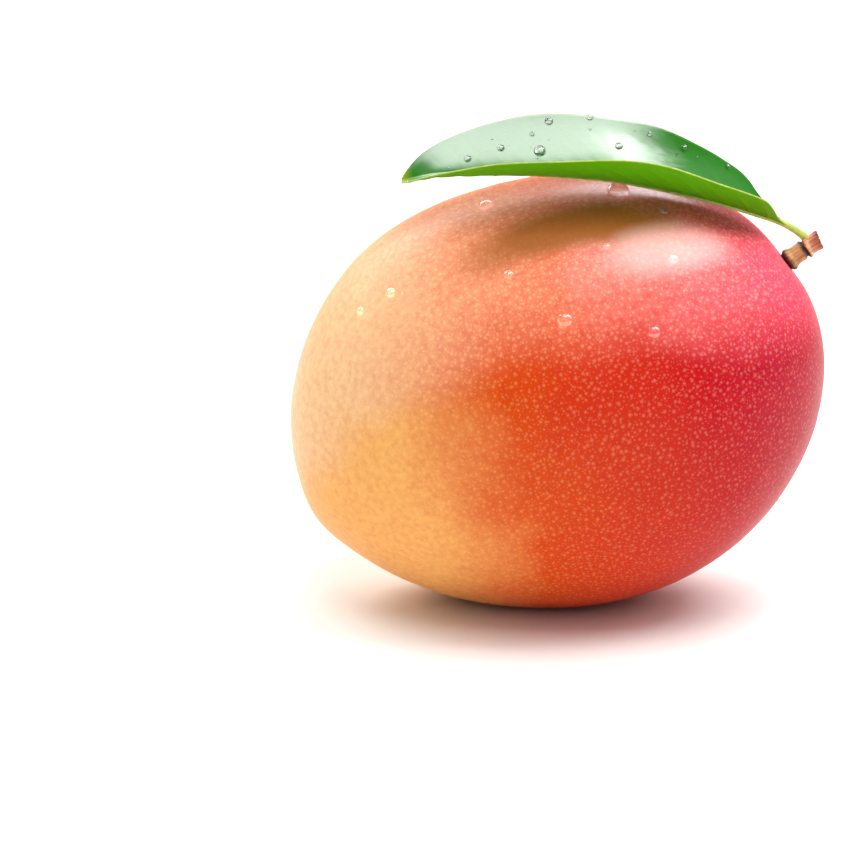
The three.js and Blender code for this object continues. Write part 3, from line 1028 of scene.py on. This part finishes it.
def drop_places(host, drops):
    """A mesh with a point for each drop where the camera sees the host, with its width and the way out."""
    camera = bpy.context.scene.camera
    pixels = PHOTO_SIDE * camera.data.lens / camera.data.sensor_width
    turn = camera.matrix_world.to_3x3()
    tree = BVHTree.FromObject(host, bpy.context.evaluated_depsgraph_get())
    points, outward, widths = [], [], []
    for column, row, width in drops:
        ray = turn @ Vector((column - PHOTO_SIDE / 2, PHOTO_SIDE / 2 - row, -pixels)).normalized()
        place, normal, _, _ = tree.ray_cast(camera.location, ray)
        if place is None:
            raise RuntimeError(f"no part of {host.name} shows at {column}, {row}")
        points.append(place)
        outward.append(normal)
        widths.append(width * MM)
    mesh = bpy.data.meshes.new("places")
    mesh.from_pydata(points, [], [])
    mesh.attributes.new("outward", "FLOAT_VECTOR", "POINT").data.foreach_set("vector", np.ravel(outward))
    mesh.attributes.new("width", "FLOAT", "POINT").data.foreach_set("value", widths)
    return mesh


class WaterSettings(bpy.types.PropertyGroup):
    """Shape and number of the water drops."""

    flatness: FloatProperty(name="Flatness", description="A drop's height over its width", default=0.8)
    skin_beads: FloatProperty(name="Skin beads", description="Beads per square metre of skin", default=900)
    leaf_beads: FloatProperty(name="Leaf beads", description="Beads per square metre of leaf", default=14000)
    bead_width: size_setting("Bead width", "Width of the widest small bead", 0.6)
    seed: IntProperty(name="Seed", description="Another scatter for another number", default=4)


class MANGO_OT_scatter_water(bpy.types.Operator):
    """Stand water drops on the fruit and the leaf"""

    bl_idname = "mango.scatter_water"
    bl_label = "Scatter water"

    def execute(self, context):
        settings = context.scene.mango_water
        tree = drops_tree(water_material())
        for name, host, drops, beads in (
            ("fruit_drops", "fruit_skin", SKIN_DROPS, settings.skin_beads),
            ("leaf_drops", "leaf_blade", LEAF_DROPS, settings.leaf_beads),
        ):
            host = bpy.data.objects[host]
            water = grow(name, drop_places(host, drops), tree, settings, host=host, beads=beads)
            # The thin drops on the skin let the light through, and the round ones on the leaf darken it
            water.visible_shadow = name == "leaf_drops"
            hand_over(water)
        return {"FINISHED"}


# Stage


def paper_material():
    """Matt white paper sweep: bright, with no gloss and no edge."""
    material, add = new_material("white_paper")
    look = {"Base Color": paint("#F2F1EF"), "Roughness": 0.9, "Specular IOR Level": 0.1}
    add("OutputMaterial", add("BsdfPrincipled", look))
    return material


def place_camera(settings):
    """The camera, level with no roll, looking at the fruit from the front and a little above."""
    forward = Vector((0, math.cos(settings.elevation), -math.sin(settings.elevation)))
    up = X_AXIS.cross(forward)
    camera = add_piece("camera", bpy.data.cameras.new("camera"))
    camera.data.lens = settings.lens
    camera.data.sensor_width = SENSOR_WIDTH
    camera.location = FRUIT_CENTRE - X_AXIS * settings.aside - up * settings.above
    camera.location -= forward * settings.distance
    camera.rotation_euler = forward.to_track_quat("-Z", "Y").to_euler()
    return camera


def lay_floor():
    """The floor, a square of white paper that the fruit rests on."""
    corners = np.array([(-1, -1, 0), (1, -1, 0), (1, 1, 0), (-1, 1, 0)]) * HALF_FLOOR
    floor = add_piece("floor", smooth_mesh("floor", corners, [(0, 1, 2, 3)]))
    floor.data.materials.append(paper_material())


def add_softbox(name, direction, distance, width, depth, radiance):
    """A rectangular area light that stands off in a direction from the object and faces it."""
    light = bpy.data.lights.new(name, "AREA")
    light.shape = "RECTANGLE"
    light.size, light.size_y = width, depth
    # A white area light of this radiance gives off pi times it on each square metre
    light.energy = math.pi * radiance * width * depth
    softbox = add_piece(name, light)
    softbox.location = LIGHTS_AIM + Vector(direction).normalized() * distance
    softbox.rotation_euler = (LIGHTS_AIM - softbox.location).to_track_quat("-Z", "Y").to_euler()


def white_surround(strength):
    """An even white world."""
    world = bpy.data.worlds.new("white_surround")
    world.use_nodes = True
    world.node_tree.nodes.clear()
    white = {"Color": paint("#FFFFFF"), "Strength": strength}
    surround = add_node(world.node_tree, "Background", white)
    add_node(world.node_tree, "OutputWorld", surround)
    return world


class StageSettings(bpy.types.PropertyGroup):
    """The camera and the studio's surround."""

    elevation: FloatProperty(
        name="Elevation", description="The camera over level", default=math.radians(15), subtype="ANGLE"
    )
    distance: size_setting("Distance", "From the camera to the fruit, along its view", 703.6)
    lens: FloatProperty(name="Lens", description="Focal length in millimetres", default=135)
    aside: size_setting("Aside", "How far right of the picture's middle the fruit stands", 30)
    above: size_setting("Above", "How far above the picture's middle the fruit stands", 6.9)
    surround: FloatProperty(name="Surround", description="Brightness of the white surround", default=0.22)


class MANGO_OT_set_stage(bpy.types.Operator):
    """Set the floor, the lights and the camera"""

    bl_idname = "mango.set_stage"
    bl_label = "Set stage"

    def execute(self, context):
        settings = context.scene.mango_stage
        context.scene.camera = place_camera(settings)
        lay_floor()
        for light in LIGHTS:
            add_softbox(*light)
        context.scene.world = white_surround(settings.surround)
        context.scene.view_settings.view_transform = "Standard"
        context.view_layer.update()
        return {"FINISHED"}


GROUPS = {
    "mango_stage": (StageSettings, MANGO_OT_set_stage),
    "mango_fruit": (FruitSettings, MANGO_OT_grow_fruit),
    "mango_stem": (StemSettings, MANGO_OT_grow_stem),
    "mango_leaf": (LeafSettings, MANGO_OT_grow_leaf),
    "mango_water": (WaterSettings, MANGO_OT_scatter_water),
}


class MANGO_PT_panel(bpy.types.Panel):
    """Lists the stage and the mango's pieces in the sidebar"""

    bl_label = "Mango"
    bl_idname = "MANGO_PT_panel"
    bl_space_type = "VIEW_3D"
    bl_region_type = "UI"
    bl_category = "Mango"

    def draw(self, context):
        for name, (settings, operator) in GROUPS.items():
            box = self.layout.box()
            for setting in settings.__annotations__:
                box.prop(getattr(context.scene, name), setting)
            box.operator(operator.bl_idname)


def register():
    for name, classes in GROUPS.items():
        for cls in classes:
            bpy.utils.register_class(cls)
        setattr(bpy.types.Scene, name, PointerProperty(type=classes[0]))
    bpy.utils.register_class(MANGO_PT_panel)


def unregister():
    bpy.utils.unregister_class(MANGO_PT_panel)
    for name, classes in GROUPS.items():
        delattr(bpy.types.Scene, name)
        for cls in classes:
            bpy.utils.unregister_class(cls)


def main():
    register()
    bpy.ops.mango.set_stage()
    bpy.ops.mango.grow_fruit()
    bpy.ops.mango.grow_stem()
    bpy.ops.mango.grow_leaf()
    bpy.ops.mango.scatter_water()


if __name__ == "__main__":
    main()
